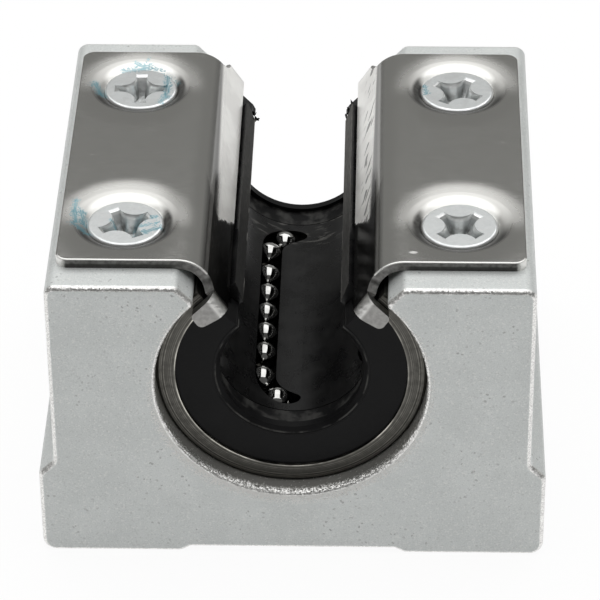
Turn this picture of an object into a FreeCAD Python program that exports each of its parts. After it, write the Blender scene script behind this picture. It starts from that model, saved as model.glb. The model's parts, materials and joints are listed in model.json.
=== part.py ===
"""Open-type linear bearing block for a 10 mm supported shaft.

A slotted aluminium housing holds an open ball bushing between two bent plates. Three ball circuits
run round inside the bushing. Sizes are in millimetres. The origin is the centre of the base,
+Z is up, +Y runs along the shaft and +X across the block.
"""
import FreeCAD, Part
import math
import os

from FreeCAD import Vector

# Housing: aluminium block with a wider foot, a bore for the bushing and a slot along its top
block_width = 36.0
block_length = 32.0
axis_height = 15.0              # shaft axis above the base
land_rise = 8.3                 # top lands above the shaft axis
foot_height = 7.0               # straight side of the foot
foot_step = 1.1                 # the body stands in from the foot by this, up a 45 degree slope
foot_round = 1.0                # bottom corner of the foot
slope_round = 0.6               # both ends of the slope
body_round = 0.8                # top outer corner of the body
face_round = 0.4                # rim of the front and rear faces
bore_round = 0.25               # at both mouths of the bore
recess_width = 14.6             # shallow channel under the base, between the two pads
recess_depth = 0.4
recess_slope = 0.75             # length of the channel's sloped sides
recess_round = 0.25

# Base: four tapped blind holes
bolt_spacing_x = 25.0
bolt_spacing_y = 20.0
bolt_drill = 4.2                # tapping drill for a 5 mm thread
bolt_depth = 10.0
bolt_chamfer = 0.4
drill_point = 118.0             # angle of the drill's tip

# Horns: the ends of the housing's bore beside the slot
horn_turn = 1.7                 # horn stands back from the bushing's slot face by this, degrees
horn_wall = 0.32                # upright wall at the horn's tip, below the slope up to the land
horn_round = 0.6                # both ends of that slope
land_gap = 0.02                 # edge of the land outside the start of the plate's bend
slot_corner = 1.0               # bottom corners of the milled slot, before the bore is cut

# Bushing: steel sleeve with a slot, three ball circuits, end rings and seals
shaft_diameter = 10.0
slot_angle = 86.0               # opening of the sleeve, seen from the shaft axis
sleeve_inset = 1.5              # sleeve ends behind the housing's faces
sleeve_wall = 1.12              # steel left behind the return grooves
sleeve_chamfer = 0.2
seat_depth = 2.8                # counterbore for the end ring and seal
seat_step = 0.23                # its wall stands in from the return grooves
seat_gap = 0.02                 # bushing in the housing's bore
groove_span = 22.0              # over the two ring grooves on the sleeve's outside
groove_width = 1.3
groove_depth = 0.5

# Balls: each circuit is a loaded row, a deeper return row and two half-round turns between them
ball_diameter = 2.0
ball_play = 0.02                # ball to shaft, and ball to the sleeve's race
ball_space = 0.34               # between neighbours in a turn
return_drop = 1.3               # how much deeper the return row lies than the loaded row
track_gap = 0.06                # ball to its track in the retainer and the return groove
load_row_turn = 23.0            # loaded row from the middle of its third of the bushing, degrees
balls_per_turn = 3
circuit_angles = {"right": 90.0, "bottom": 180.0, "left": 270.0}

# Retainer: moulded plastic cage between the sleeve and the shaft
retainer_bore_gap = 0.4         # inside of the cage to the shaft
retainer_gap = 0.07             # outside of the cage to the sleeve's race
retainer_end_gap = 0.05
retainer_slot_width = 6.8       # between the cage's two slot walls, at the bore
retainer_slot_lean = 18.0       # slope of the slot walls from upright, degrees
track_end_wall = 0.4            # plastic past the turns

# End ring and seal at each end of the sleeve
ring_thickness = 0.7
ring_bore = 12.4
ring_end_turn = 4.0             # ring ends stand back from the slot face by this, degrees
stack_gap = 0.03                # between the parts in the sleeve's counterbore
seal_inset = 0.2                # face of the seal behind the sleeve's end
seal_lip_gap = 0.05             # lip to the shaft
seal_lip_length = 0.6
seal_mouth = 0.3                # bevel from the face in to the lip
seal_back_relief = 0.35         # bore behind the lip is larger by this

# Retaining plates: bent sheet on the lands, with a leg down each slot face and ears over the sleeve's ends
plate_thickness = 0.7
plate_side_inset = 0.65         # outer edge in from the body's side
plate_end_inset = 2.4           # end edges behind the housing's faces
plate_corner_round = 0.9
plate_edge_round = 0.13         # top edge of the sheet
bend_radius = 1.8               # inside of the bend
leg_lean = 33.0                 # leg from upright, degrees
leg_gap = 0.05                  # end of the leg to the sleeve's slot face
leg_end_gap = 0.27              # end of the leg above the cage's outside
ear_gap = 0.15                  # ear to the sleeve's end
ear_length = 1.6                # past the leg, over the sleeve's end
ear_width = 1.75                # at the fold
ear_tip = 1.2                   # width at the ear's tip
ear_bend = 0.25                 # inside of the ear's fold
ear_round = 0.4

# Plate screws: flat heads in dimples that are pressed into the plates
screw_thread = 3.0
screw_wall = 0.65               # metal between the bore and the screw's hole
screw_end_distance = 4.85       # screw to the plate's end edge
screw_length = 7.0              # below the top of the plate
thread_gap = 0.02
head_diameter = 5.4
head_drop = 0.22                # top of the head below the top of the plate
head_round = 0.2                # top edge of the head
dimple_play = 0.5               # dimple's mouth is larger than the head by this, on the radius
dimple_round = 1.5              # where the plate turns down into the dimple
dimple_rim = 0.02               # flat ring outside the dimple
cone_gap = 0.02
hole_gap = 0.2                  # plate's hole round the screw
cross_span = 4.0                # over two wings of the recess
cross_width = 0.9               # of a wing
cross_nose = 2.1                # across the rounded noses between the wings
cross_depth = 1.3
cross_bevel = 0.14              # depth of the flared mouth
cross_neck = 0.9                # the cross below its mouth, as a share of the mouth
cross_taper = 0.5               # the cross at its bottom, as a share of the mouth
screw_turns = {"front_left": 30.0, "front_right": 46.0, "rear_left": 1.0, "rear_right": 58.0}

# Sizes that follow from the ones above
half_length = block_length / 2
half_width = block_width / 2
body_half = half_width - foot_step
land_z = axis_height + land_rise
slot_half = slot_angle / 2

shaft_r = shaft_diameter / 2
ball_r = ball_diameter / 2
load_r = shaft_r + ball_play + ball_r
race_r = load_r + ball_r + ball_play
return_r = load_r + return_drop
relief_r = return_r + ball_r + track_gap
sleeve_r = relief_r + sleeve_wall
seat_r = relief_r - seat_step
bore_r = sleeve_r + seat_gap
track_r = ball_r + track_gap
retainer_r = race_r - retainer_gap
retainer_bore_r = shaft_r + retainer_bore_gap

# A half turn holds a whole number of balls, so its radius fixes the pitch
turn_step = math.pi / balls_per_turn
turn_r = (ball_diameter + ball_space) / (2 * math.sin(turn_step / 2))
pitch = turn_r * turn_step
row_turn = math.degrees(math.acos((load_r**2 + return_r**2 - (2 * turn_r) ** 2) / (2 * load_r * return_r)))

sleeve_half = half_length - sleeve_inset
retainer_half = sleeve_half - seat_depth - retainer_end_gap
row_room = 2 * (retainer_half - track_end_wall - track_r - turn_r)
row_count = int(row_room / pitch)
row_half = row_room / 2
row_slack = row_half - row_count * pitch / 2     # left over at each end of a row of balls

plate_half = half_length - plate_end_inset
plate_top = land_z + plate_thickness
plate_outer = body_half - plate_side_inset
leg_end_r = retainer_r + leg_end_gap
half_bend = math.tan(math.radians((90.0 - leg_lean) / 2))
screw_r = screw_thread / 2
screw_x = bore_r + screw_wall + screw_r
screw_y = plate_half - screw_end_distance
head_r = head_diameter / 2
dimple_r = head_r + dimple_play
dimple_hole_r = screw_r + hole_gap
dimple_depth = dimple_r - dimple_hole_r
dimple_drop = plate_thickness * math.sqrt(2)    # sheet thickness measured straight down the 45 degree cone
dimple_back_r = dimple_r + dimple_drop - plate_thickness
bevel_reach = math.tan(math.radians(22.5))      # how far a rounding of radius 1 reaches past a 45 degree edge

axis_point = Vector(0, 0, axis_height)
along = Vector(0, 1, 0)
up = Vector(0, 0, 1)


def polar(radius, angle, y=0.0):
    """Point at a radius and an angle round the shaft axis, 0 at the slot and 90 at +X."""
    turn = math.radians(angle)
    return Vector(radius * math.sin(turn), y, axis_height + radius * math.cos(turn))


def rounded_outline(corners, place):
    """Closed wire through (a, b, radius) corners with tangent arcs; place(a, b) gives each point."""
    points = [place(a, b) for a, b, _ in corners]
    count = len(points)
    cuts = []
    for i, (_, _, radius) in enumerate(corners):
        before = (points[i - 1] - points[i]).normalize()
        after = (points[(i + 1) % count] - points[i]).normalize()
        if radius == 0:
            cuts.append((points[i], None, points[i]))
            continue
        half = before.getAngle(after) / 2
        reach = radius / math.tan(half)
        middle = (before + after).normalize() * (radius / math.sin(half) - radius)
        cuts.append((points[i] + before * reach, points[i] + middle, points[i] + after * reach))
    edges = []
    for i, (start, middle, end) in enumerate(cuts):
        if middle is not None:
            edges.append(Part.Arc(start, middle, end).toShape())
        following = cuts[(i + 1) % count][0]
        if end.distanceToPoint(following) > 1e-6:
            edges.append(Part.LineSegment(end, following).toShape())
    return Part.Wire(edges)


def bar_along_shaft(corners, y0, y1):
    """Solid with an (x, z, radius) outline, from y0 to y1."""
    outline = rounded_outline(corners, lambda x, z: Vector(x, y0, z))
    return Part.Face(outline).extrude(along * (y1 - y0))


def mirrored_corners(right_side):
    """Outline corners for both sides, from the right side's corners listed upwards."""
    return right_side + [(-x, z, radius) for x, z, radius in reversed(right_side)]


def turned(section, centre=axis_point, axis=along, start=0.0, sweep=360.0):
    """Solid turned from (radius, distance along the axis) corners, with a rounding if it is given."""
    out = Vector(0, 0, 1) if axis == along else Vector(1, 0, 0)
    corners = [(*point, 0)[:3] for point in section]
    face = Part.Face(rounded_outline(corners, lambda r, t: centre + out * r + axis * t))
    face.rotate(centre, axis, start)
    return face.revolve(centre, axis, sweep)


def open_ring(section, end_angle):
    """Ring about the shaft axis that is open at the slot, up to end_angle on each side."""
    return turned(section, start=end_angle, sweep=360.0 - 2 * end_angle)


def leg_frame(side):
    """End of a plate leg's near face, and the directions up the leg and into the slot."""
    lean = math.radians(leg_lean)
    foot = polar(leg_end_r, side * (slot_half - math.degrees(leg_gap / leg_end_r)))
    up_leg = Vector(side * math.sin(lean), 0, math.cos(lean))
    into_slot = Vector(-side * math.cos(lean), 0, math.sin(lean))
    return foot, up_leg, into_slot


def plate_corner(side, height, z):
    """Where the plane that stands off the leg's near face by a height meets the level z."""
    foot, up_leg, into_slot = leg_frame(side)
    start = foot + into_slot * height
    return start + up_leg * ((z - start.z) / up_leg.z)


def housing():
    horn_angle = math.radians(slot_half + horn_turn)
    horn_x = bore_r * math.sin(horn_angle)
    horn_z = axis_height + bore_r * math.cos(horn_angle) + horn_wall
    bend_start = plate_corner(1, 0, land_z).x + bend_radius * half_bend
    side = [
        (recess_width / 2, recess_depth, recess_round),
        (recess_width / 2 + recess_slope, 0, recess_round),
        (half_width, 0, foot_round),
        (half_width, foot_height, slope_round),
        (body_half, foot_height + foot_step, slope_round),
        (body_half, land_z, body_round),
        (bend_start + land_gap, land_z, horn_round),
        (horn_x, horn_z, horn_round),
        (horn_x, axis_height, slot_corner),
    ]
    block = bar_along_shaft(mirrored_corners(side), -half_length, half_length)
    rims = [e for f in block.Faces if abs(f.normalAt(0, 0).y) > 0.99 for e in f.Edges]
    block = block.makeFillet(face_round, rims)

    mouth_r = bore_r + bore_round
    half_bore = [
        (0, block_length),
        (mouth_r, block_length),
        (mouth_r, half_length),
        (bore_r, half_length, bore_round),
    ]
    bore = half_bore + [(r, -y, *rounding) for r, y, *rounding in reversed(half_bore)]
    block = block.cut(turned(bore))

    drill_r = bolt_drill / 2
    tip = drill_r / math.tan(math.radians(drill_point / 2))
    tapped_hole = [
        (0, 0),
        (drill_r + bolt_chamfer, 0),
        (drill_r, bolt_chamfer),
        (drill_r, bolt_depth),
        (0, bolt_depth + tip),
    ]
    for x in (-bolt_spacing_x / 2, bolt_spacing_x / 2):
        for y in (-bolt_spacing_y / 2, bolt_spacing_y / 2):
            block = block.cut(turned(tapped_hole, centre=Vector(x, y, 0), axis=up))

    # The sheet of each dimple presses into a countersink round the screw's tapped hole
    hole_r = screw_r + thread_gap
    seat_top = dimple_back_r + cone_gap
    countersink = [
        (0, 0),
        (seat_top, 0),
        (hole_r, hole_r - seat_top),
        (hole_r, plate_thickness - screw_length - screw_r),
        (0, plate_thickness - screw_length - screw_thread),
    ]
    for x, y in screw_places().values():
        block = block.cut(turned(countersink, centre=Vector(x, y, land_z), axis=up))
    return block


def bearing_sleeve():
    seat_y = sleeve_half - seat_depth
    groove_out = groove_span / 2
    groove_in = groove_out - groove_width
    half_section = [
        (sleeve_r, groove_in),
        (sleeve_r - groove_depth, groove_in),
        (sleeve_r - groove_depth, groove_out),
        (sleeve_r, groove_out),
        (sleeve_r, sleeve_half - sleeve_chamfer),
        (sleeve_r - sleeve_chamfer, sleeve_half),
        (seat_r, sleeve_half),
        (seat_r, seat_y),
        (race_r, seat_y),
    ]
    section = half_section + [(r, -y) for r, y in reversed(half_section)]
    sleeve = open_ring(section, slot_half)

    # Return grooves run the whole length beside each loaded race
    shift = math.degrees(math.asin(track_r / return_r))
    groove = [(0, -seat_y), (relief_r, -seat_y), (relief_r, seat_y), (0, seat_y)]
    for middle in circuit_angles.values():
        last = middle + load_row_turn - shift
        sleeve = sleeve.cut(turned(groove, start=last - row_turn, sweep=row_turn))
    return sleeve


def circuit_rows(middle):
    """Centres, at y = 0, of a circuit's loaded row and return row."""
    load_angle = middle + load_row_turn
    return polar(load_r, load_angle), polar(return_r, load_angle - row_turn)


def ball_track(middle):
    """Round tunnel that the balls of one circuit run in: two straight rows and two half turns."""
    load, back = circuit_rows(middle)
    across = (load - back).normalize()
    turn_axis = across.cross(along)
    rear = (load + back) * 0.5 + along * row_half
    front = (load + back) * 0.5 - along * row_half
    track = None
    for row in (load, back):
        straight = Part.makeCylinder(track_r, 2 * row_half, row - along * row_half, along)
        track = straight if track is None else track.fuse(straight)
    for centre, first in ((rear, across), (front, across * -1)):
        circle = Part.makeCircle(track_r, centre + first * turn_r, along)
        half_turn = Part.Face(Part.Wire(circle)).revolve(centre, turn_axis, 180.0)
        track = track.fuse(half_turn)
    return track


def ball_retainer():
    lean = math.tan(math.radians(retainer_slot_lean))
    half_slot = retainer_slot_width / 2
    wall_z = axis_height + math.sqrt(retainer_bore_r**2 - half_slot**2)
    low_z = axis_height
    high_z = axis_height + 2 * retainer_r

    def wall_x(z):
        return half_slot + (z - wall_z) * lean

    wall = [
        (retainer_bore_r, -retainer_half),
        (retainer_r, -retainer_half),
        (retainer_r, retainer_half),
        (retainer_bore_r, retainer_half),
    ]
    opening = mirrored_corners([(wall_x(low_z), low_z, 0), (wall_x(high_z), high_z, 0)])
    cage = turned(wall).cut(bar_along_shaft(opening, -block_length, block_length))
    for middle in circuit_angles.values():
        cage = cage.cut(ball_track(middle))
    return cage


def end_stack(end):
    """Steel ring and rubber seal in the sleeve's counterbore at one end, end = -1 front or 1 rear."""
    seat_y = sleeve_half - seat_depth
    ring_in = seat_y + stack_gap
    ring_out = ring_in + ring_thickness
    outside_r = seat_r - stack_gap
    ring_section = [
        (ring_bore / 2, ring_in),
        (outside_r, ring_in),
        (outside_r, ring_out),
        (ring_bore / 2, ring_out),
    ]
    face_y = sleeve_half - seal_inset
    back_y = ring_out + stack_gap
    lip_r = shaft_r + seal_lip_gap
    lip_out = face_y - seal_mouth
    lip_in = lip_out - seal_lip_length
    seal_section = [
        (lip_r + seal_back_relief, ring_in),
        (ring_bore / 2 - stack_gap, ring_in),
        (ring_bore / 2 - stack_gap, back_y),
        (outside_r, back_y),
        (outside_r, face_y),
        (lip_r + seal_mouth, face_y),
        (lip_r, lip_out),
        (lip_r, lip_in),
        (lip_r + seal_back_relief, lip_in),
    ]
    ring = open_ring([(r, end * y) for r, y in ring_section], slot_half + ring_end_turn)
    seal = open_ring([(r, end * y) for r, y in seal_section], slot_half)
    return ring, seal


def retaining_plate(side):
    """Plate on one land, side = -1 left or 1 right."""
    foot, up_leg, into_slot = leg_frame(side)
    leg_far = foot + into_slot * plate_thickness
    outer_corner = plate_corner(side, plate_thickness, plate_top)
    inner_corner = plate_corner(side, 0, land_z)
    outline = [
        (side * plate_outer, land_z, 0),
        (side * plate_outer, plate_top, 0),
        (outer_corner.x, plate_top, bend_radius + plate_thickness),
        (leg_far.x, leg_far.z, 0),
        (foot.x, foot.z, 0),
        (inner_corner.x, land_z, bend_radius),
    ]
    plate = bar_along_shaft(outline, -plate_half, plate_half)
    outer_edges = [e for e in plate.Edges if abs(e.CenterOfMass.x - side * plate_outer) < 1e-6]
    upright_edges = [e for e in outer_edges if abs(e.CenterOfMass.y) > plate_half - 1e-6]
    plate = plate.makeFillet(plate_corner_round, upright_edges)

    # This rounding runs on round the corners and down both ends of the bend
    top_edge = Vector(side * plate_outer, 0, plate_top)
    edge = [e for e in plate.Edges if e.CenterOfMass.distanceToPoint(top_edge) < 1e-6]
    plate = plate.makeFillet(plate_edge_round, edge)

    # Each end of the leg flares out below the bend, and its flare is folded outwards over the sleeve's end
    leg_length = foot.distanceToPoint(inner_corner) - bend_radius * half_bend
    ear_in = sleeve_half + ear_gap
    ear_out = ear_in + plate_thickness
    fold_y = ear_in - ear_bend
    flare_rise = (leg_length - ear_width) / 2
    flare_round = flare_rise / math.tan(math.atan2(fold_y - plate_half, flare_rise) / 2)
    flare_from = plate_half - ear_width
    ear_shape = [
        (plate_thickness, 0, 0),
        (plate_thickness, ear_width, 0),
        (-ear_length, ear_tip, ear_round),
        (-ear_length, 0, ear_round),
    ]
    for end in (-1, 1):
        flare = [
            (0, flare_from, 0),
            (0, fold_y, 0),
            (ear_width, fold_y, 0),
            (ear_width + flare_rise, plate_half, flare_round),
            (leg_length, plate_half, 0),
            (leg_length, flare_from, 0),
        ]
        fold = [
            (0, flare_from, 0),
            (plate_thickness, flare_from, 0),
            (plate_thickness, ear_out, ear_bend + plate_thickness),
            (-ear_length, ear_out, 0),
            (-ear_length, ear_in, 0),
            (0, ear_in, ear_bend),
        ]
        flare_wire = rounded_outline(flare, lambda rise, y: foot + up_leg * rise + along * (end * y))
        fold_wire = rounded_outline(fold, lambda height, y: foot + into_slot * height + along * (end * y))
        ear_wire = rounded_outline(ear_shape, lambda height, rise: foot + into_slot * height + up_leg * rise)
        strip = Part.Face(fold_wire).extrude(up_leg * ear_width)
        ear = strip.common(Part.Face(ear_wire).extrude(along * (end * block_length)))
        plate = plate.fuse(Part.Face(flare_wire).extrude(into_slot * plate_thickness)).fuse(ear)
    plate = plate.removeSplitter()

    # The sheet round each screw is pressed down into a 45 degree cone with a hole at its bottom
    rim_r = max(dimple_back_r, dimple_r + dimple_round * bevel_reach) + dimple_rim
    cone = [
        (rim_r, plate_thickness),
        (dimple_r, plate_thickness, dimple_round),
        (dimple_hole_r, plate_thickness - dimple_depth),
        (dimple_hole_r, plate_thickness - dimple_depth - dimple_drop),
        (dimple_back_r, 0),
        (rim_r, 0),
    ]
    for x, y in screw_places().values():
        if x * side > 0:
            centre = Vector(x, y, land_z)
            plate = plate.cut(Part.makeCylinder(rim_r, plate_thickness, centre))
            plate = plate.fuse(turned(cone, centre=centre, axis=up))
    return plate.removeSplitter()


def screw_places():
    """Place (x, y) of each plate screw, by name."""
    return {
        f"{end}_{side}": (sx * screw_x, sy * screw_y)
        for end, sy in (("front", -1), ("rear", 1))
        for side, sx in (("left", -1), ("right", 1))
    }


def cross_outline(centre, share, turn):
    """Level outline of a cross recess: four wings, with an arc round the nose between each two."""

    def spot(radius, angle):
        around = math.radians(turn + angle)
        return centre + Vector(math.cos(around), math.sin(around), 0) * (radius * share)

    tip_r = cross_span / 2
    spread = math.degrees(math.asin(cross_width / cross_span))
    edges = []
    for wing in (0, 90, 180, 270):
        first, last, following = (spot(tip_r, wing + a) for a in (-spread, spread, 90 - spread))
        edges.append(Part.LineSegment(first, last).toShape())
        edges.append(Part.Arc(last, spot(cross_nose / 2, wing + 45), following).toShape())
    return Part.Wire(edges)


def plate_screw(name):
    """Flat-head screw with a cross recess, in its dimple."""
    x, y = screw_places()[name]
    cone_top = dimple_r - head_r - cone_gap
    tip = screw_r / 2
    section = [
        (0, -head_drop),
        (head_r, -head_drop, head_round),
        (head_r, -cone_top),
        (screw_r, -cone_top - head_r + screw_r),
        (screw_r, tip - screw_length),
        (screw_r - tip, -screw_length),
        (0, -screw_length),
    ]
    centre = Vector(x, y, plate_top)
    screw = turned(section, centre=centre, axis=up)
    levels = ((0, 1.0), (cross_bevel, cross_neck), (cross_depth, cross_taper))
    head_top = centre - up * head_drop
    wires = [cross_outline(head_top - up * depth, share, screw_turns[name]) for depth, share in levels]
    return screw.cut(Part.makeLoft(wires, True, True))


def ball_groups(middle):
    """Balls of one circuit in four groups; the loaded row runs towards +Y and the return row back."""
    load, back = circuit_rows(middle)
    across = (load - back).normalize()
    centre = (load + back) * 0.5
    groups = {"load_row": [], "return_row": [], "front_turn": [], "rear_turn": []}
    for i in range(row_count):
        step = along * (i * pitch - row_half + (row_slack if i else 0))
        groups["load_row"].append(load + step)
        groups["return_row"].append(back - step)
    for i in range(balls_per_turn):
        spoke = across * (turn_r * math.cos(i * turn_step)) + along * (turn_r * math.sin(i * turn_step))
        groups["rear_turn"].append(centre + along * row_half + spoke)
        groups["front_turn"].append(centre - along * row_half - spoke)
    return groups


os.makedirs("parts", exist_ok=True)
nodes = {"housing": housing(), "bearing_sleeve": bearing_sleeve(), "ball_retainer": ball_retainer()}
for end_name, end_sign in (("front", -1), ("rear", 1)):
    nodes[f"end_ring_{end_name}"], nodes[f"end_seal_{end_name}"] = end_stack(end_sign)
for side_name, side_sign in (("left", -1), ("right", 1)):
    nodes[f"retaining_plate_{side_name}"] = retaining_plate(side_sign)
for screw_name in screw_turns:
    nodes[f"plate_screw_{screw_name}"] = plate_screw(screw_name)
for circuit, circuit_angle in circuit_angles.items():
    for group, centres in ball_groups(circuit_angle).items():
        nodes[f"balls_{circuit}_{group}"] = Part.makeCompound([Part.makeSphere(ball_r, c) for c in centres])
for node, shape in nodes.items():
    shape.exportStep(f"parts/{node}.step")
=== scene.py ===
import json
import math

import bmesh
import bpy
from mathutils import Matrix, Vector


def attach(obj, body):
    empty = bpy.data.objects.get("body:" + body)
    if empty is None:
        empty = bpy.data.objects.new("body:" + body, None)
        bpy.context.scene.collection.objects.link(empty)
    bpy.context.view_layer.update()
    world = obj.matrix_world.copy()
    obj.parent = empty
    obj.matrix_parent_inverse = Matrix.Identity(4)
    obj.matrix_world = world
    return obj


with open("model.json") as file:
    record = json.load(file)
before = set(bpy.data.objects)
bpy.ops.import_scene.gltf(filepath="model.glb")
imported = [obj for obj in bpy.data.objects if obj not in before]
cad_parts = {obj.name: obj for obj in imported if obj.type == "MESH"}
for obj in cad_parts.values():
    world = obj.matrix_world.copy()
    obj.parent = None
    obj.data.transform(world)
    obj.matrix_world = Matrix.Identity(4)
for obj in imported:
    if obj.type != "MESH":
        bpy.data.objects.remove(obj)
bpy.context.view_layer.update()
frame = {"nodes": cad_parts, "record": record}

# Housing
# A die-cast aluminium block with a wider foot, blasted all over to an even matte grey that glints.
# The bore is machined to hold the bushing. Its mouths and the rims of both end faces are rough and bright.
mm = 0.001
shaft_mount = next(mount for mount in frame["record"]["mounts"] if mount["name"] == "shaft_bore")
shaft_axis = Vector(shaft_mount["pos_m"])
across_shaft = (1, 0, 1)
noise_low, noise_high = 0.3, 0.7
cast_light = (0.775, 0.80, 0.79, 1)
cast_shade = (0.665, 0.69, 0.68, 1)
cast_pit = (0.30, 0.30, 0.295, 1)
cast_glint = (0.97, 0.965, 0.94, 1)
edge_dark = (0.66, 0.655, 0.64, 1)
bore_colour = (0.48, 0.473, 0.448, 1)
cast_grain, pit_size, patch_size = 0.10 * mm, 0.15 * mm, 3.0 * mm
glint_levels, pit_levels, deep_pit_levels = (0.88, 0.93), (0.12, 0.07), (0.030, 0.014)
patch_levels, patch_least = (0.42, 0.68), 0.05
grain_share, glint_share, pit_share, deep_pit_share = 0.6, 0.3, 0.14, 0.65
bore_radius, bore_feed = 9.52 * mm, 0.06 * mm
bored_levels = 0.08 * mm, 0.03 * mm
rim_depth, rim_fade, rim_grain = 15.55 * mm, 0.2 * mm, 0.07 * mm
rim_width, rim_least = 0.72 * mm, 0.35
rim_high, rim_low = 17 * mm, 8 * mm
round_from, round_to = (0.08, 0.30), (0.99, 0.93)
speck_spread, speck_levels = 0.7 * mm, (0.40 * mm, 0.15 * mm)
sparkle_levels, middle_colour = (0.15, 0.85), (0.5, 0.5, 0.5)
mouth_levels = 15.05 * mm, 15.75 * mm
blast_share, blast_levels = 0.8, (0.93, 1.02)
edge_tilt, mouth_tilt, mouth_roll = 0.35, 0.70, 0.36
skin_depth = 0.016 * mm
cast_metal, worn_metal, bore_metal = 0.36, 0.95, 0.7
cast_rough, worn_rough, bore_rough, mouth_rough = (0.52, 0.42), 0.34, 0.42, 0.32


def new_finish(name):
    """A node material, its tree and its shader."""
    finish = bpy.data.materials.new(name)
    finish.use_nodes = True
    return finish, finish.node_tree, finish.node_tree.nodes["Principled BSDF"]


def put(tree, kind, sockets=None, **settings):
    """Adds a node and gives its outputs; a socket takes a value, or a link from another node's output."""
    node = tree.nodes.new(kind)
    for key, value in settings.items():
        setattr(node, key, value)
    for key, value in (sockets or {}).items():
        if isinstance(value, bpy.types.NodeSocket):
            tree.links.new(value, node.inputs[key])
        else:
            node.inputs[key].default_value = value
    return node.outputs


def feed(tree, shader, **sockets):
    """Sets the shader's sockets by name; an underscore stands for a space."""
    for key, value in sockets.items():
        socket = shader.inputs[key.replace("_", " ")]
        if isinstance(value, bpy.types.NodeSocket):
            tree.links.new(value, socket)
        else:
            socket.default_value = value


def place_in(tree):
    """The point on the piece, in metres, in the piece's own frame."""
    return put(tree, "ShaderNodeTexCoord")["Object"]


def facing_in(tree):
    """The way the surface faces, in the piece's own frame."""
    return put(tree, "ShaderNodeTexCoord")["Normal"]


def calc(tree, operation, first, second=0.0, third=0.0):
    """One sum on up to three numbers."""
    return put(tree, "ShaderNodeMath", {0: first, 1: second, 2: third}, operation=operation)["Value"]


def times(tree, first, *others):
    """Product of two or more numbers."""
    for other in others:
        first = calc(tree, "MULTIPLY", first, other)
    return first


def vector(tree, operation, first, second=(0, 0, 0)):
    """One sum on one or two vectors."""
    return put(tree, "ShaderNodeVectorMath", {0: first, 1: second}, operation=operation)["Vector"]


def scaled(tree, first, factor):
    """A vector times a number."""
    return put(tree, "ShaderNodeVectorMath", {0: first, "Scale": factor}, operation="SCALE")["Vector"]


def point(tree, **axes):
    """The vector with these axes, X, Y or Z, and 0 on the others."""
    return put(tree, "ShaderNodeCombineXYZ", axes)["Vector"]


def axes_of(tree, where):
    """The x, y and z of a point."""
    parts = put(tree, "ShaderNodeSeparateXYZ", {0: where})
    return parts["X"], parts["Y"], parts["Z"]


def noise(tree, where, grain, detail=3.0):
    """Noise from 0 to 1 with grains of about that size."""
    return put(tree, "ShaderNodeTexNoise", {"Vector": where, "Scale": 1 / grain, "Detail": detail})["Fac"]


def line_noise(tree, along, pitch):
    """Noise that changes only along one distance, as fine lines of about that pitch."""
    sockets = {"W": times(tree, along, 1 / pitch), "Scale": 1.0, "Detail": 2.0}
    return put(tree, "ShaderNodeTexNoise", sockets, noise_dimensions="1D")["Fac"]


def cell_colours(tree, where, size):
    """A random colour for each cell of about that size."""
    return put(tree, "ShaderNodeTexVoronoi", {"Vector": where, "Scale": 1 / size})["Color"]


def cells(tree, where, size):
    """A random number from 0 to 1 for each cell of about that size."""
    return axes_of(tree, cell_colours(tree, where, size))[0]


def ramp(tree, value, low, high, to_low=0.0, to_high=1.0):
    """Smooth step of a value between two levels."""
    sockets = {"Value": value, "From Min": low, "From Max": high, "To Min": to_low, "To Max": to_high}
    return put(tree, "ShaderNodeMapRange", sockets, interpolation_type="SMOOTHSTEP")["Result"]


def stretch(tree, value, to_low=0.0, to_high=1.0):
    """Spreads noise, which keeps near its middle, over a whole range."""
    return ramp(tree, value, noise_low, noise_high, to_low, to_high)


def mix(tree, share, first, second):
    """Colour between two colours."""
    return put(tree, "ShaderNodeMix", {0: share, 6: first, 7: second}, data_type="RGBA")[2]


def blend(tree, share, first, second):
    """Number between two numbers."""
    return put(tree, "ShaderNodeMix", {0: share, 2: first, 3: second}, data_type="FLOAT")[0]


def bump(tree, height, depth, normal=None):
    """Normal of a surface with that height pattern, over that depth in metres."""
    sockets = {"Height": height, "Distance": depth}
    if normal is not None:
        sockets["Normal"] = normal
    return put(tree, "ShaderNodeBump", sockets)["Normal"]


def radius_round(tree, where, centre, keep):
    """Distance from a line through a centre; keep is 1 on the axes that count and 0 along the line."""
    flat = vector(tree, "MULTIPLY", vector(tree, "SUBTRACT", where, centre), keep)
    return put(tree, "ShaderNodeVectorMath", {0: flat}, operation="LENGTH")["Value"]


def coat(node, finish):
    """Gives a CAD piece its finish."""
    piece = frame["nodes"][node]
    piece.data.materials.clear()
    piece.data.materials.append(finish)


cast, tree, shader = new_finish("blasted_cast_aluminium")
where = place_in(tree)
y, z = axes_of(tree, where)[1:]
out_y = calc(tree, "ABSOLUTE", y)
turning = calc(tree, "ABSOLUTE", axes_of(tree, facing_in(tree))[1])
past_bore = calc(tree, "SUBTRACT", radius_round(tree, where, shaft_axis, across_shaft), bore_radius)
bored = ramp(tree, past_bore, *bored_levels)
at_rim = ramp(tree, out_y, rim_depth, rim_depth + rim_fade)

# The cast skin has fine grains with glints, a soft mottle, and pits that lie in patches
grain = noise(tree, where, cast_grain)
cell = cells(tree, where, cast_grain)
glint = ramp(tree, cell, *glint_levels)
pit = ramp(tree, cell, *pit_levels)
patch = ramp(tree, noise(tree, where, patch_size), *patch_levels, patch_least, 1.0)
deep_pit = times(tree, ramp(tree, cells(tree, where, pit_size), *deep_pit_levels), patch)
mottle = stretch(tree, noise(tree, where, patch_size, detail=4.0))
body = mix(tree, blend(tree, grain_share, mottle, stretch(tree, grain)), cast_shade, cast_light)
body = mix(tree, times(tree, pit, pit_share), body, cast_pit)
body = mix(tree, times(tree, deep_pit, deep_pit_share), body, cast_pit)
body = mix(tree, times(tree, glint, glint_share), body, cast_glint)

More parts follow.
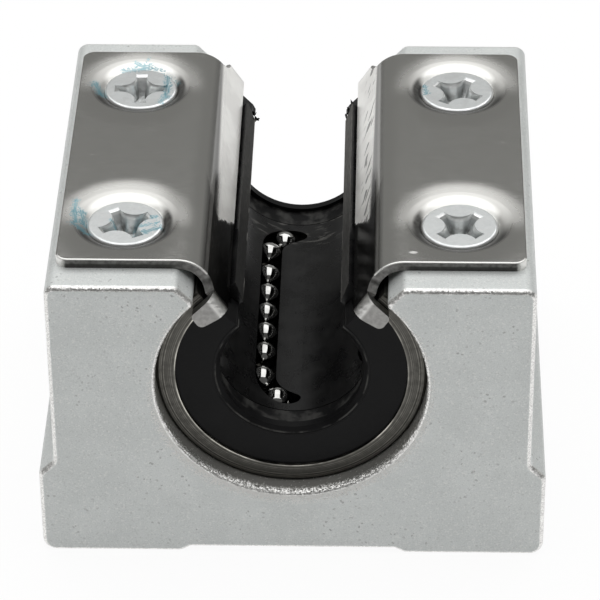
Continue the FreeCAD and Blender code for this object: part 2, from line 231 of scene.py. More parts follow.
# The rounds of both end faces are worn bright, and painted highlight specks lie round the bore, in a band
# that is widest low down
worn = times(tree, ramp(tree, turning, *round_from), ramp(tree, turning, *round_to), at_rim)
reach = ramp(tree, z, rim_high, rim_low, rim_least * rim_width, rim_width)
spread = calc(tree, "MULTIPLY_ADD", cell, speck_spread, past_bore)
highlight_specks = times(tree, ramp(tree, calc(tree, "SUBTRACT", spread, reach), *speck_levels), at_rim)
sparkle = ramp(tree, cells(tree, where, rim_grain), *sparkle_levels)
body = mix(tree, highlight_specks, body, cast_glint)
body = mix(tree, worn, body, mix(tree, sparkle, edge_dark, cast_glint))
body_metal = blend(tree, worn, blend(tree, highlight_specks, cast_metal, 0.0), worn_metal)
shiny = calc(tree, "MAXIMUM", glint, worn)
body_rough = blend(tree, shiny, stretch(tree, grain, *cast_rough), worn_rough)

# The bored wall has feed lines, and toward its mouths it is blasted into facets that roll outward
mouth = times(tree, ramp(tree, out_y, *mouth_levels), bored)
blasted = ramp(tree, calc(tree, "MULTIPLY_ADD", mouth, blast_share, cell), *blast_levels)
wall = mix(tree, blasted, bore_colour, cast_glint)
skin = bump(tree, blend(tree, bored, grain, line_noise(tree, y, bore_feed)), skin_depth)
facets = vector(tree, "SUBTRACT", cell_colours(tree, where, rim_grain), middle_colour)
tilt = calc(tree, "MULTIPLY_ADD", worn, edge_tilt, times(tree, mouth, mouth_tilt))
tilted = vector(tree, "ADD", skin, scaled(tree, facets, tilt))
rolled = point(tree, Y=times(tree, calc(tree, "SIGN", y), mouth, mouth_roll))
feed(
    tree, shader,
    Base_Color=mix(tree, bored, body, wall),
    Metallic=blend(tree, bored, body_metal, blend(tree, mouth, bore_metal, worn_metal)),
    Roughness=blend(tree, bored, body_rough, blend(tree, mouth, bore_rough, mouth_rough)),
    Normal=vector(tree, "NORMALIZE", vector(tree, "ADD", tilted, rolled)),
)
coat("housing", cast)

# Bushing sleeve and end rings
# Hardened bearing steel: the sleeve is turned and ground, and slotted along its top. Its ends show
# fine rings from the lathe and a bright inner edge. A thin ring of the same steel lies behind each seal.
steel_light = (0.19, 0.183, 0.165, 1)
steel_dark = (0.065, 0.063, 0.057, 1)
steel_edge = (0.62, 0.60, 0.54, 1)
steel_rough = 0.30, 0.46
lathe_pitch, lathe_depth, lathe_levels = 0.10 * mm, 0.014 * mm, (0.35, 0.80)
smudge_size, smudge_levels, smudge_dim = 0.5 * mm, (0.35, 0.7), 0.6
edge_radius, edge_levels = 8.18 * mm, (0.07 * mm, 0.02 * mm)
edge_patch, edge_patch_levels, edge_least = 3.0 * mm, (0.38, 0.66), 0.1


def apart(tree, first, second):
    """How far two numbers are apart."""
    return calc(tree, "ABSOLUTE", calc(tree, "SUBTRACT", first, second))


bearing_steel, tree, shader = new_finish("turned_bearing_steel")
where = place_in(tree)
radius = radius_round(tree, where, shaft_axis, across_shaft)
rings = line_noise(tree, radius, lathe_pitch)
smudge = ramp(tree, noise(tree, where, smudge_size, detail=4.0), *smudge_levels)
kept_bright = ramp(tree, noise(tree, where, edge_patch, detail=5.0), *edge_patch_levels, edge_least, 1.0)
edge = times(tree, ramp(tree, apart(tree, radius, edge_radius), *edge_levels), kept_bright)
tone = times(tree, ramp(tree, rings, *lathe_levels), blend(tree, smudge, 1.0, smudge_dim))
feed(
    tree, shader,
    Base_Color=mix(tree, edge, mix(tree, tone, steel_dark, steel_light), steel_edge),
    Metallic=1.0,
    Roughness=ramp(tree, smudge, 0.0, 1.0, *steel_rough),
    Normal=bump(tree, rings, lathe_depth),
)
for node in ("bearing_sleeve", "end_ring_front", "end_ring_rear"):
    coat(node, bearing_steel)

# Ball retainer
# A moulded black plastic cage, clipped inside the sleeve, with a closed track for each ball circuit.
# The slot is sawn through it after moulding, so its walls are rough and grey and its edges are torn.
# The walls are darker toward the front, and lighter grey arcs, drawn round the bore, lie inside at the
# rear.
plastic_black = (0.0055, 0.0055, 0.0058, 1)
plastic_bloom = (0.013, 0.013, 0.013, 1)
plastic_sawn = (0.18, 0.176, 0.165, 1)
plastic_torn = (0.26, 0.255, 0.24, 1)
plastic_gloss, plastic_rough, sawn_rough = 0.25, (0.24, 0.36), 0.8
cloud_size, cloud_levels = 1.6 * mm, (0.45, 0.75)
wall_half, wall_foot = 3.4 * mm, shaft_axis.z + 4.195 * mm
wall_slope = math.tan(math.radians(18))
wall_levels, sawn_from = (0.05 * mm, 0.02 * mm), (18.9 * mm, 19.0 * mm)
mark_size, mark_draw, mark_levels, mark_least = 0.22 * mm, (1, 0.35, 1), (0.2, 0.8), 0.5
moulded_depth, sawn_depth = 0.008 * mm, 0.012 * mm
slot_middle, left_shaded_share, right_torn = 1 * mm, 0.40, 0.4
front_dark_from, front_dark_to, front_dark_share = 4.0 * mm, -5.0 * mm, 0.35
torn_reach, torn_size, torn_levels = (0.20 * mm, 0.06 * mm), 0.5 * mm, (0.48, 0.60)
arc_size, arc_draw = 0.35 * mm, (0.3, 1, 0.3)
arc_levels, arc_share = (0.52, 0.68), 0.55
arc_below, arc_behind = (12 * mm, 10.8 * mm), (8.2 * mm, 9.4 * mm)


def drawn_out(tree, where, scale):
    """The point to look a pattern up at: a scale below 1 draws the pattern out along that axis."""
    return put(tree, "ShaderNodeMapping", {"Vector": where, "Scale": scale})["Vector"]


cage_plastic, tree, shader = new_finish("moulded_black_plastic")
where = place_in(tree)
x, y, z = axes_of(tree, where)
out_x = calc(tree, "ABSOLUTE", x)
wall_x = calc(tree, "MULTIPLY_ADD", calc(tree, "SUBTRACT", z, wall_foot), wall_slope, wall_half)
sawn = times(tree, ramp(tree, apart(tree, out_x, wall_x), *wall_levels), ramp(tree, z, *sawn_from))
cloud = noise(tree, where, cloud_size, detail=4.0)
along_slot = drawn_out(tree, where, mark_draw)
marks = noise(tree, along_slot, mark_size, detail=4.0)
moulded = mix(tree, ramp(tree, cloud, *cloud_levels), plastic_black, plastic_bloom)
sawn_colour = mix(tree, ramp(tree, marks, *mark_levels, mark_least, 1.0), plastic_bloom, plastic_sawn)
# The left wall takes less of the sawn grey than the right: painted shade
shaded_side = ramp(tree, x, -slot_middle, slot_middle, left_shaded_share, 1.0)
front_darkening = ramp(tree, y, front_dark_to, front_dark_from, front_dark_share, 1.0)
sawn_grey = times(tree, sawn, shaded_side, front_darkening)
torn = radius_round(tree, point(tree, X=out_x, Z=z), (wall_half, 0, wall_foot), across_shaft)
torn = ramp(tree, torn, *torn_reach)
torn = times(tree, torn, ramp(tree, noise(tree, along_slot, torn_size, detail=5.0), *torn_levels))
torn = times(tree, torn, ramp(tree, x, -slot_middle, slot_middle, 1.0, right_torn))
round_the_bore = drawn_out(tree, where, arc_draw)
rear_arcs = ramp(tree, noise(tree, round_the_bore, arc_size, detail=4.0), *arc_levels)
rear_arcs = times(tree, rear_arcs, ramp(tree, z, *arc_below), ramp(tree, y, *arc_behind, 0.0, arc_share))
plastic_colour = mix(tree, rear_arcs, mix(tree, sawn_grey, moulded, sawn_colour), plastic_sawn)
worked = calc(tree, "MAXIMUM", sawn, torn)
feed(
    tree, shader,
    Base_Color=mix(tree, torn, plastic_colour, plastic_torn),
    Roughness=blend(tree, worked, stretch(tree, cloud, *plastic_rough), sawn_rough),
    Specular_IOR_Level=plastic_gloss,
    Normal=bump(tree, marks, calc(tree, "MULTIPLY_ADD", sawn, sawn_depth, moulded_depth)),
)
coat("ball_retainer", cage_plastic)

# Burrs on the cage
# Shreds of plastic that the saw left hanging at the rear end of the cage's slot, thin and curled.
# Each is a tapering ragged strip: its root, the way it points, the way it is wide, its length and width.
burr_thickness, burr_curl, burr_fringe = 0.05 * mm, 0.12 * mm, 0.05 * mm
burr_taper, burr_waist = 0.7, 0.35
burr_rows, burr_columns = 7, 4
waist_wave, waist_shift = 9, 2.3
fringe_wave, fringe_shift = 5, 3
burrs = {
    "burr_left_low": ((-3.45, 11.60, 19.30), (0.80, 0.30, -0.05), (0.1, 0.0, 1.0), 0.36, 0.50),
    "burr_left_high": ((-3.50, 11.62, 19.62), (0.70, 0.10, 0.55), (0.5, 0.2, -0.8), 0.30, 0.22),
    "burr_right_low": ((3.52, 11.60, 19.60), (-0.75, 0.35, 0.25), (0.1, 0.1, 1.0), 0.26, 0.42),
    "burr_right_mid": ((3.72, 11.60, 20.15), (-0.60, 0.25, 0.60), (0.4, 0.1, 0.9), 0.28, 0.34),
    "burr_right_high": ((3.93, 11.58, 20.66), (-0.25, 0.05, 0.95), (0.9, 0.3, 0.1), 0.42, 0.18),
}

for turn, (name, (root, way, wide, length, width)) in enumerate(burrs.items()):
    root, way, wide = Vector(root) * mm, Vector(way).normalized(), Vector(wide).normalized()
    curl = way.cross(wide)
    sheet = bmesh.new()
    rows = []
    for row in range(burr_rows):
        share = row / (burr_rows - 1)
        spine = root + way * (length * mm * share) + curl * (burr_curl * share**2)
        half = width * mm / 2 * (1 - burr_taper * share)
        half *= 1 + burr_waist * math.sin(waist_wave * share + waist_shift * turn)
        verts = []
        for column in range(burr_columns):
            aside = wide * (half * (2 * column / (burr_columns - 1) - 1))
            fringe = way * (burr_fringe * math.sin(fringe_wave * column + fringe_shift * turn) * share)
            verts.append(sheet.verts.new(spine + aside + fringe))
        rows.append(verts)
    for near, far in zip(rows, rows[1:]):
        for column in range(burr_columns - 1):
            sheet.faces.new((near[column], near[column + 1], far[column + 1], far[column]))
    bmesh.ops.solidify(sheet, geom=sheet.faces[:], thickness=burr_thickness)
    bmesh.ops.recalc_face_normals(sheet, faces=sheet.faces[:])
    mesh = bpy.data.meshes.new(name)
    sheet.to_mesh(mesh)
    sheet.free()
    mesh.materials.append(cage_plastic)
    burr = bpy.data.objects.new(name, mesh)
    bpy.context.scene.collection.objects.link(burr)
    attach(burr, "block")

# Balls
# Hardened steel balls, lapped to a mirror and wet with a film of oil. They run loose in the cage's
# tracks, in three circuits of four groups each: a loaded row, a return row and a half turn at each end.
ball_colour = (0.62, 0.62, 0.61, 1)
ball_oil = (0.45, 0.445, 0.43, 1)
ball_rough = 0.03, 0.09
film_size, film_levels = 0.9 * mm, (0.35, 0.7)

ball_steel, tree, shader = new_finish("lapped_steel_ball")
film = ramp(tree, noise(tree, place_in(tree), film_size), *film_levels)
feed(
    tree, shader,
    Base_Color=mix(tree, film, ball_colour, ball_oil),
    Metallic=1.0,
    Roughness=ramp(tree, film, 0.0, 1.0, *ball_rough),
)
for node in frame["nodes"]:
    if node.startswith("balls_"):
        coat(node, ball_steel)

# End seals
# Black rubber rings pressed into both ends of the sleeve, with a lip that wipes the shaft.
# The face is moulded satin, with a fine raised bead round the lip, and the lip's edge is worn grey.
rubber_black = (0.0050, 0.0050, 0.0054, 1)
rubber_grey = (0.0085, 0.0085, 0.0090, 1)
rubber_worn = (0.085, 0.084, 0.080, 1)
rubber_gloss, rubber_rough = 0.13, (0.42, 0.54)
bloom_size, bloom_levels = 2.0 * mm, (0.4, 0.7)
bead_radius, bead_half, bead_depth = 5.48 * mm, 0.10 * mm, 0.04 * mm
lip_radius, lip_levels = 5.35 * mm, (0.08 * mm, 0.02 * mm)
lip_patch, lip_patch_levels = 1.2 * mm, (0.42, 0.62)
rubber_grain, rubber_depth = 0.2 * mm, 0.008 * mm

rubber, tree, shader = new_finish("black_rubber")
where = place_in(tree)
radius = radius_round(tree, where, shaft_axis, across_shaft)
bloom = noise(tree, where, bloom_size, detail=4.0)
bead = ramp(tree, apart(tree, radius, bead_radius), bead_half, 0.0)
skin = bump(tree, noise(tree, where, rubber_grain), rubber_depth)
worn = ramp(tree, apart(tree, radius, lip_radius), *lip_levels)
worn = times(tree, worn, ramp(tree, noise(tree, where, lip_patch, detail=4.0), *lip_patch_levels))
rubber_colour = mix(tree, ramp(tree, bloom, *bloom_levels), rubber_black, rubber_grey)
feed(
    tree, shader,
    Base_Color=mix(tree, worn, rubber_colour, rubber_worn),
    Roughness=stretch(tree, bloom, *rubber_rough),
    Specular_IOR_Level=rubber_gloss,
    Normal=bump(tree, bead, bead_depth, skin),
)
for node in ("end_seal_front", "end_seal_rear"):
    coat(node, rubber)

# Retaining plates
# Polished stainless sheet, bent down into the slot, with two ears folded over the sleeve's ends.
# Pressing the dimples pulls the sheet into a shallow dish round each screw. The folded ears are scuffed
# dull, the bends carry draw marks from the tool, and blue thread-locker has run out at the left screws.
sheet_colour = (0.57, 0.565, 0.545, 1)
sheet_scuffed = (0.24, 0.236, 0.228, 1)
sheet_rubbed = (0.33, 0.326, 0.314, 1)
# The cut edges' own dark colour, which also carries painted shade
sheet_sheared_and_shade = (0.11, 0.108, 0.103, 1)
sheet_scored = (0.07, 0.07, 0.068, 1)
# The two whites and the near-black below are painted light: highlight and reflection, and dark reflection
# and shade
sheet_highlight_white = (0.97, 0.965, 0.935, 1)
sheet_highlight_dulled = (0.86, 0.85, 0.825, 1)
sheet_painted_dark = (0.045, 0.044, 0.042, 1)
sheet_spot = (0.86, 0.85, 0.83, 1)
locker_teal = (0.02, 0.19, 0.25, 1)
locker_pale = (0.25, 0.52, 0.60, 1)
locker_metal, sheet_locker_share = 0.3, 0.8
satin_metal = 0.55
polish_rough, dish_rough, dimple_rough = (0.13, 0.19), 0.33, 0.45
satin_rough, dark_reflection_rough, ear_rough = 0.36, 0.12, 0.38
brush_size, brush_draw, brush_levels = 1.1 * mm, (1, 14, 1), (0.3, 0.75)
screw_x, screw_y = 11.67 * mm, 8.75 * mm
dimple_radius, dimple_round = 3.55 * mm, 0.5 * mm
dimple_wall = 3.65 * mm, 3.35 * mm
dish_radius, dish_slope = 5.6 * mm, 0.031 / mm
dish_behind = -1.5 * mm, 0.8 * mm
flat_levels = 7.2 * mm, 10.0 * mm
wave_size, wave_depth = 5 * mm, 0.012 * mm
gap_shadow_reach, gap_shadow_front, gap_shadow_share = (3.75 * mm, 3.35 * mm), (0.6 * mm, -1.8 * mm), 0.93
leg_lean, leg_low = math.radians(33), 20.8 * mm
leg_levels, leg_facing = (6.45 * mm, 5.65 * mm), (0.60, 0.85)
strip_from, strip_taper, strip_beside = 5.45 * mm, 0.018, 0.85
left_soft, left_marks = 0.22 * mm, 0.06
right_soft, right_marks = 0.14 * mm, 0.9
end_shift_rate, end_slant = 6.0, 1.1
end_grain, end_ragged, end_levels = 0.3 * mm, 1.2 * mm, (-4.1 * mm, -3.6 * mm)
leg_streak_size, leg_streak_draw, leg_streak_levels, leg_streak_share = 0.13 * mm, (1, 0.12, 1), (0.60, 0.70), 0.45
stroke_width, stroke_length = 0.8 * mm, 2.4 * mm
stroke_slant, stroke_cross = -2.4, 1.2
stroke_levels, stroke_fade, stroke_share = (0.585, 0.62), (-0.9 * mm, -0.4 * mm), 0.85
dull_size, dull_levels = 2.6 * mm, (0.40, 0.62)
plate_end, ear_levels = 13.6 * mm, (14.3 * mm, 14.9 * mm)
scuff_size, scuff_levels, scuff_depth = 0.35 * mm, (0.25, 0.75), 0.02 * mm
fold_from, fold_to, fold_share = (0.20, 0.50), (0.985, 0.90), 0.6
fold_past = plate_end + 0.1 * mm, plate_end + 0.4 * mm
cut_levels = 0.3, 0.1
turned_from, turned_to, turned_fade = (0.15, 0.35), (0.95, 0.8), 0.02 * mm
low_shade_heights, low_shade_out, low_shade_share = (23.72 * mm, 23.57 * mm), (7.8 * mm, 8.3 * mm), 0.8
hair_width, hair_length = 0.09 * mm, 0.9 * mm
hair_levels, hair_least = (0.34, 0.56), 0.22
film_grain, film_ragged = 0.16 * mm, (-0.16 * mm, 0.22 * mm)
film_outer, film_inner = 1.7, 0.6
spot_narrow, spot_core, spot_rough = 0.55, 0.4, 0.5

# Rubbed spots on both plates: x, y and radius in millimetres, and cover
sheet_spots = [
    (8.43, -12.42, 0.24, 0.75),
    (-14.6, -0.5, 0.13, 0.10),
    (14.9, 1.5, 0.13, 0.10),
    (13.2, -3.85, 0.13, 0.15),
    (-10.2, -2.2, 0.09, 0.10),
]

# Streaks of thread-locker on the left plate: start, end and half width in millimetres, and paleness
sheet_smears = [
    ((-15.29, -6.27), (-15.30, -8.18), 0.20, 0.75),
    ((-15.34, -7.60), (-15.09, -8.83), 0.24, 0.25),
    ((-15.37, -9.03), (-14.33, -10.05), 0.20, 0.10),
    ((-14.85, -7.60), (-14.55, -8.90), 0.24, 0.20),
    ((-13.00, 11.25), (-11.20, 11.80), 0.22, 0.85),
    ((-12.30, 12.05), (-11.50, 11.70), 0.16, 0.90),
    ((-11.29, 12.75), (-11.40, 12.15), 0.07, 0.80),
    ((-11.11, 11.75), (-10.35, 11.40), 0.12, 0.35),
    ((-10.20, 11.15), (-8.95, 9.64), 0.11, 0.20),
    ((-15.10, 9.10), (-14.50, 7.90), 0.30, 0.15),
]


def dot(tree, first, second):
    """Length of one vector along another."""
    return put(tree, "ShaderNodeVectorMath", {0: first, 1: second}, operation="DOT_PRODUCT")["Value"]


def smear(tree, flat, ragged, start, end, half_width):
    """1 along a brushed streak between two points of the block's plan, in millimetres, 0 away from it."""
    first = Vector((start[0], start[1], 0)) * mm
    run = Vector((end[0], end[1], 0)) * mm - first
    way = run.normalized()
    sideways = Vector((-way.y, way.x, 0))
    offset = vector(tree, "SUBTRACT", flat, first)
    share = put(tree, "ShaderNodeClamp", {"Value": dot(tree, offset, run / run.length_squared)})["Result"]
    nearest = scaled(tree, run, share)
    away = put(tree, "ShaderNodeVectorMath", {0: offset, 1: nearest}, operation="DISTANCE")["Value"]
    away = calc(tree, "ADD", away, ragged)
    film = ramp(tree, away, half_width * mm * film_outer, half_width * mm * film_inner)
    hair = point(tree, X=dot(tree, offset, way / hair_length), Y=dot(tree, offset, sideways / hair_width))
    return times(tree, film, ramp(tree, noise(tree, hair, 1.0), *hair_levels, hair_least, 1.0))


def locker_film(tree, where, smears):
    """Cover and colour of the thread-locker that lies along a list of streaks."""
    flat = vector(tree, "MULTIPLY", where, (1, 1, 0))
    ragged = stretch(tree, noise(tree, where, film_grain, detail=5.0), *film_ragged)
    cover, colour = None, None
    for start, end, half_width, paleness in smears:
        streak = smear(tree, flat, ragged, start, end, half_width)
        tint = [teal + (pale - teal) * paleness for teal, pale in zip(locker_teal, locker_pale)]
        colour = mix(tree, streak, colour, tint) if colour else tint
        cover = calc(tree, "MAXIMUM", cover, streak) if cover else streak
    return cover, colour


def polished_sheet(name, side, smears, strip_soft, draw_marks):
    """Finish of one plate, side -1 left or 1 right, with its strip's softness and share of draw marks."""
    finish, tree, shader = new_finish(name)
    where = place_in(tree)
    facing = facing_in(tree)
    x, y, z = axes_of(tree, where)
    out_x = calc(tree, "ABSOLUTE", x)
    out_y = calc(tree, "ABSOLUTE", y)

    # The flat top is brushed and a little wavy, and dished round each screw
    from_x = calc(tree, "SUBTRACT", out_x, screw_x)
    from_y = calc(tree, "SUBTRACT", out_y, screw_y)
    from_screw = radius_round(tree, point(tree, X=from_x, Y=from_y), (0, 0, 0), (1, 1, 0))
    behind_screw = calc(tree, "SUBTRACT", y, times(tree, calc(tree, "SIGN", y), screw_y))
    past_rim = calc(tree, "SMOOTH_MAX", from_screw, dimple_radius, dimple_round)
    inside = calc(tree, "MAXIMUM", calc(tree, "SUBTRACT", dish_radius, past_rim), 0.0)
    dish = times(tree, inside, inside, -dish_slope, ramp(tree, out_x, *flat_levels))
    waves = times(tree, noise(tree, where, wave_size, detail=2.0), wave_depth)
    brushed = noise(tree, drawn_out(tree, where, brush_draw), brush_size, detail=5.0)

    # The leg's face carries painted reflection: a satin strip at the rear painted white, painted dark
    # beside it, and in front of a ragged end a painted dark reflection, nearly black, with lighter streaks
    leg_way = Vector((-side * math.cos(leg_lean), 0, math.sin(leg_lean)))
    toward_slot = dot(tree, facing, leg_way)
    broad = ramp(tree, toward_slot, *leg_facing)
    leg = times(tree, ramp(tree, out_x, *leg_levels), broad)
    rise = calc(tree, "SUBTRACT", z, leg_low)
    past_strip = calc(tree, "SUBTRACT", out_x, calc(tree, "MULTIPLY_ADD", y, strip_taper, strip_from))
    strip = ramp(tree, past_strip, strip_soft, -strip_soft)
    beside = times(tree, ramp(tree, past_strip, 0.0, strip_soft), leg, strip_beside)
    end_shift = times(tree, calc(tree, "MAXIMUM", past_strip, 0.0), end_shift_rate)
    level = calc(tree, "SUBTRACT", calc(tree, "MULTIPLY_ADD", rise, end_slant, y), end_shift)
    level = calc(tree, "MULTIPLY_ADD", noise(tree, where, end_grain, detail=4.0), end_ragged, level)
    reflection_bright = ramp(tree, level, *end_levels)
    satin_reflection = times(tree, strip, broad, reflection_bright)
    dark_reflection = times(tree, leg, calc(tree, "SUBTRACT", 1.0, reflection_bright))
    leg_streaks = noise(tree, drawn_out(tree, where, leg_streak_draw), leg_streak_size)
    leg_streak_marks = ramp(tree, leg_streaks, *leg_streak_levels, 0.0, leg_streak_share)

    # The bend's draw marks are short slanting strokes, and the satin strip's painted white is dulled in
    # patches
    across = times(tree, calc(tree, "MULTIPLY_ADD", rise, stroke_cross, y), 1 / stroke_length)
    along = times(tree, calc(tree, "MULTIPLY_ADD", rise, stroke_slant, y), 1 / stroke_width)
    strokes = ramp(tree, noise(tree, point(tree, X=across, Y=along), 1.0, detail=1.0), *stroke_levels)
    drawn = times(tree, strokes, ramp(tree, past_strip, *stroke_fade), satin_reflection, draw_marks, stroke_share)
    dulled = ramp(tree, noise(tree, where, dull_size), *dull_levels)

    # Cut edges are dark, partly their own sheared colour and partly painted shade, with painted shade
    # darkest low down, below a painted highlight line where the top turns over them.
    # The ears are scuffed, with a painted highlight on the fold, and a painted shadow lies in front of each
    # screw's head.
    end_facing = calc(tree, "ABSOLUTE", axes_of(tree, facing)[1])
    ear = ramp(tree, out_y, *ear_levels)
    scuff = ramp(tree, noise(tree, where, scuff_size, detail=4.0), *scuff_levels)
    fold_highlight = times(tree, ramp(tree, end_facing, *fold_from), ramp(tree, end_facing, *fold_to))
    fold_highlight = times(tree, fold_highlight, ramp(tree, out_y, *fold_past), fold_share)
    off_cut = calc(tree, "ABSOLUTE", toward_slot)
    sheared = times(tree, ramp(tree, off_cut, *cut_levels), calc(tree, "SUBTRACT", 1.0, ear))
    low_edge_shade = times(tree, sheared, ramp(tree, z, *low_shade_heights), ramp(tree, out_x, *low_shade_out))
    low_edge_shade = times(tree, low_edge_shade, low_shade_share)
    turned_highlight = times(tree, ramp(tree, end_facing, *turned_from), ramp(tree, end_facing, *turned_to))
    turned_highlight = times(tree, turned_highlight, ramp(tree, out_y, plate_end + turned_fade, plate_end))
    # Painted shadow on the dimple's wall in front of each screw's head
    gap_shadow = times(tree, ramp(tree, from_screw, *gap_shadow_reach), ramp(tree, behind_screw, *gap_shadow_front), gap_shadow_share)

    # The whites and the near-black mixed in below are painted highlight, reflection and shade
    colour = mix(tree, satin_reflection, sheet_colour, mix(tree, dulled, sheet_highlight_white, sheet_highlight_dulled))
    colour = mix(tree, drawn, colour, sheet_scored)
    colour = mix(tree, beside, colour, sheet_painted_dark)
    colour = mix(tree, dark_reflection, colour, mix(tree, leg_streak_marks, sheet_painted_dark, sheet_rubbed))
    colour = mix(tree, ear, colour, mix(tree, scuff, sheet_scuffed, sheet_rubbed))
    colour = mix(tree, fold_highlight, colour, sheet_highlight_white)
    colour = mix(tree, sheared, colour, mix(tree, scuff, sheet_sheared_and_shade, sheet_scuffed))
    colour = mix(tree, low_edge_shade, colour, sheet_painted_dark)
    colour = mix(tree, turned_highlight, colour, sheet_highlight_white)
    colour = mix(tree, gap_shadow, colour, sheet_painted_dark)

    white = calc(tree, "MAXIMUM", satin_reflection, turned_highlight)
    metal = blend(tree, white, 1.0, satin_metal)
    soft_dish = ramp(tree, from_screw, dish_radius, dimple_radius)
    soft_dish = times(tree, soft_dish, ramp(tree, behind_screw, *dish_behind))
    rough = blend(tree, soft_dish, ramp(tree, brushed, *brush_levels, *polish_rough), dish_rough)
    rough = blend(tree, ramp(tree, from_screw, *dimple_wall), rough, dimple_rough)
    rough = blend(tree, white, rough, satin_rough)
    rough = blend(tree, dark_reflection, rough, dark_reflection_rough)
    rough = blend(tree, calc(tree, "MAXIMUM", ear, sheared), rough, ear_rough)
    for spot_x, spot_y, spot_radius, cover in sheet_spots:
        reach = spot_radius * mm
        away = radius_round(tree, where, (spot_x * mm, spot_y * mm, 0), (spot_narrow, 1, 0))
        colour = mix(tree, ramp(tree, away, reach, reach * spot_core, 0.0, cover), colour, sheet_spot)
        rough = calc(tree, "ADD", rough, ramp(tree, away, reach, 0.0, 0.0, spot_rough * cover))
    if smears:
        cover, tint = locker_film(tree, where, smears)
        cover = times(tree, cover, sheet_locker_share)
        colour = mix(tree, cover, colour, tint)
        metal = blend(tree, cover, metal, locker_metal)
    normal = bump(tree, calc(tree, "ADD", dish, waves), 1.0)
    feed(
        tree, shader,
        Base_Color=colour,
        Metallic=metal,
        Roughness=rough,
        Normal=bump(tree, scuff, times(tree, ear, scuff_depth), normal),
    )
    return finish


left_sheet = polished_sheet("polished_sheet_left", -1, sheet_smears, left_soft, left_marks)
right_sheet = polished_sheet("polished_sheet_right", 1, [], right_soft, right_marks)
coat("retaining_plate_left", left_sheet)
coat("retaining_plate_right", right_sheet)

# Plate screws
# Flat-head steel screws with a cross recess, bright zinc plate, driven down into the dimples.
# Some thread-locker is left on the heads of both left screws and on the edge of the rear right one.
zinc_light = (0.80, 0.82, 0.82, 1)
zinc_shade = (0.68, 0.70, 0.70, 1)
zinc_grime_and_shade = (0.40, 0.405, 0.40, 1)
zinc_bright = (0.96, 0.97, 0.965, 1)
zinc_rough, head_locker_share = (0.42, 0.33), 0.85
zinc_patch, zinc_patch_levels = 0.8 * mm, (0.35, 0.65)
crystal_size, crystal_depth = 0.16 * mm, 0.006 * mm
dirt_size, dirt_levels, dirt_least = 0.35 * mm, (0.40, 0.62), 0.35
recess_depth = 0.3 * mm, 1.1 * mm
lip_upper, lip_lower = (0.03 * mm, 0.08 * mm), (0.40 * mm, 0.25 * mm)
head_top = 23.78 * mm

# Streaks of thread-locker on each head: start, end and half width in millimetres, and paleness
head_smears = {
    "front_left": [
        ((-12.60, -8.45), (-10.89, -8.90), 0.16, 0.65),
        ((-10.95, -8.45), (-9.40, -7.94), 0.17, 0.75),
        ((-10.61, -9.18), (-9.45, -8.70), 0.15, 0.80),
        ((-10.29, -9.93), (-9.26, -9.30), 0.20, 0.35),
    ],
    "rear_left": [
        ((-12.90, 11.10), (-11.20, 11.50), 0.14, 0.60),
        ((-9.75, 10.45), (-9.75, 7.60), 0.24, 0.20),
        ((-9.90, 7.70), (-10.15, 6.85), 0.16, 0.75),
    ],
    "rear_right": [((9.24, 9.39), (9.45, 8.30), 0.16, 0.55)],
    "front_right": [],
}

for screw, smears in head_smears.items():
    zinc, tree, shader = new_finish(f"bright_zinc_{screw}")
    where = place_in(tree)
    depth = calc(tree, "SUBTRACT", head_top, axes_of(tree, where)[2])
    patch = ramp(tree, noise(tree, where, zinc_patch, detail=5.0), *zinc_patch_levels)
    dirt = ramp(tree, noise(tree, where, dirt_size, detail=4.0), *dirt_levels, dirt_least, 1.0)
    # The recess darkens deeper down: painted shade, broken up by dirt
    recess_grime_and_shade = times(tree, ramp(tree, depth, *recess_depth), dirt)
    lip = times(tree, ramp(tree, depth, *lip_upper), ramp(tree, depth, *lip_lower))
    colour = mix(tree, patch, zinc_shade, zinc_light)
    colour = mix(tree, recess_grime_and_shade, colour, zinc_grime_and_shade)
    colour = mix(tree, lip, colour, zinc_bright)
    metal = 1.0
    if smears:
        cover, tint = locker_film(tree, where, smears)
        cover = times(tree, cover, head_locker_share)
        colour = mix(tree, cover, colour, tint)
        metal = blend(tree, cover, metal, locker_metal)
    feed(
        tree, shader,
        Base_Color=colour,
        Metallic=metal,
        Roughness=ramp(tree, patch, 0.0, 1.0, *zinc_rough),
        Normal=bump(tree, noise(tree, where, crystal_size), crystal_depth),
    )
    coat(f"plate_screw_{screw}", zinc)

# Floor and light
# A white paper floor, one large softbox above and behind the block, and a room that is darker in front.
# The camera and shiny pieces see mostly glowing paper, so the ground stays white round a faint shadow.
floor_half = 3.0
paper_white = (0.84, 0.84, 0.835, 1)
glow_colour, glow_strength, glow_share = (1, 1, 1, 1), 1.03, 0.9
softbox_height = 0.32
softbox_size = (0.62, 0.534)
softbox_back = 0.075
softbox_radiance = 1.42
room_front = (0.11, 0.11, 0.108, 1)
room_back = (0.27, 0.27, 0.262, 1)
room_levels = -0.25, 0.45

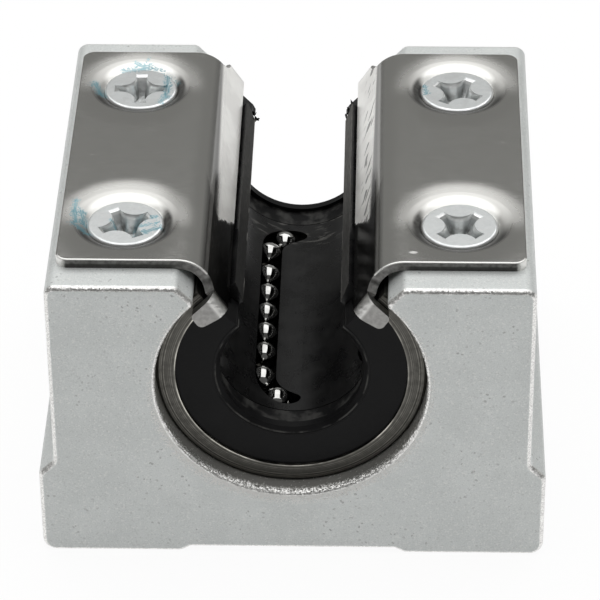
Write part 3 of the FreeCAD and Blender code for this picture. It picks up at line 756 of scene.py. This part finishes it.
floor_mesh = bpy.data.meshes.new("floor")
front, back = -floor_half, floor_half
corners = [(-floor_half, front, 0), (floor_half, front, 0), (floor_half, back, 0), (-floor_half, back, 0)]
floor_mesh.from_pydata(corners, [], [(0, 1, 2, 3)])
floor = bpy.data.objects.new("floor", floor_mesh)
bpy.context.scene.collection.objects.link(floor)
paper, tree, shader = new_finish("white_paper")
tree.nodes.remove(shader)
rays = put(tree, "ShaderNodeLightPath")
seen = calc(tree, "MAXIMUM", rays["Is Camera Ray"], rays["Is Glossy Ray"])
seen = calc(tree, "MAXIMUM", seen, rays["Is Transmission Ray"])
lit = put(tree, "ShaderNodeBsdfDiffuse", {"Color": paper_white})["BSDF"]
glow = put(tree, "ShaderNodeEmission", {"Color": glow_colour, "Strength": glow_strength})["Emission"]
glowing = times(tree, seen, glow_share)
surface = put(tree, "ShaderNodeMixShader", {0: glowing, 1: lit, 2: glow})["Shader"]
tree.links.new(surface, tree.nodes["Material Output"].inputs["Surface"])
floor.data.materials.append(paper)

softbox = bpy.data.lights.new("softbox", "AREA")
softbox.shape = "RECTANGLE"
softbox.size, softbox.size_y = softbox_size
softbox.energy = softbox_radiance * math.pi * softbox_size[0] * softbox_size[1]
lamp = bpy.data.objects.new("softbox", softbox)
lamp.location = (0, softbox_back, softbox_height)
lamp.visible_camera = False
bpy.context.scene.collection.objects.link(lamp)

room = bpy.data.worlds.new("room")
room.use_nodes = True
tree = room.node_tree
backward = axes_of(tree, put(tree, "ShaderNodeTexCoord")["Generated"])[1]
room_colour = mix(tree, ramp(tree, backward, *room_levels), room_front, room_back)
tree.links.new(room_colour, tree.nodes["Background"].inputs["Color"])
bpy.context.scene.world = room

# Camera
# A long lens in front of the block and a little to its right, looking down on it.
# Its place, its turn and its lens were fitted to where the block's corners lie in the photo.
lens_mm = 209.76
sensor_mm = 36.0
nearest_seen, farthest_seen = 0.01, 20
camera_place = Vector((6.58, -209.71, 162.03)) * mm
camera_turn = math.radians(-1.74)
camera_drop = math.radians(35.76)
camera_roll = math.radians(0.53)

camera = bpy.data.objects.new("camera", bpy.data.cameras.new("camera"))
camera.data.lens = lens_mm
camera.data.sensor_width = sensor_mm
camera.data.clip_start = nearest_seen
camera.data.clip_end = farthest_seen
looking = Vector((
    math.sin(camera_turn) * math.cos(camera_drop),
    math.cos(camera_turn) * math.cos(camera_drop),
    -math.sin(camera_drop),
))
level_right = looking.cross(Vector((0, 0, 1))).normalized()
level_down = looking.cross(level_right)
right = math.cos(camera_roll) * level_right + math.sin(camera_roll) * level_down
down = math.cos(camera_roll) * level_down - math.sin(camera_roll) * level_right
camera.matrix_world = Matrix((right, -down, -looking)).transposed().to_4x4()
camera.location = camera_place
bpy.context.scene.collection.objects.link(camera)
bpy.context.scene.camera = camera
bpy.context.scene.view_settings.view_transform = "Standard"
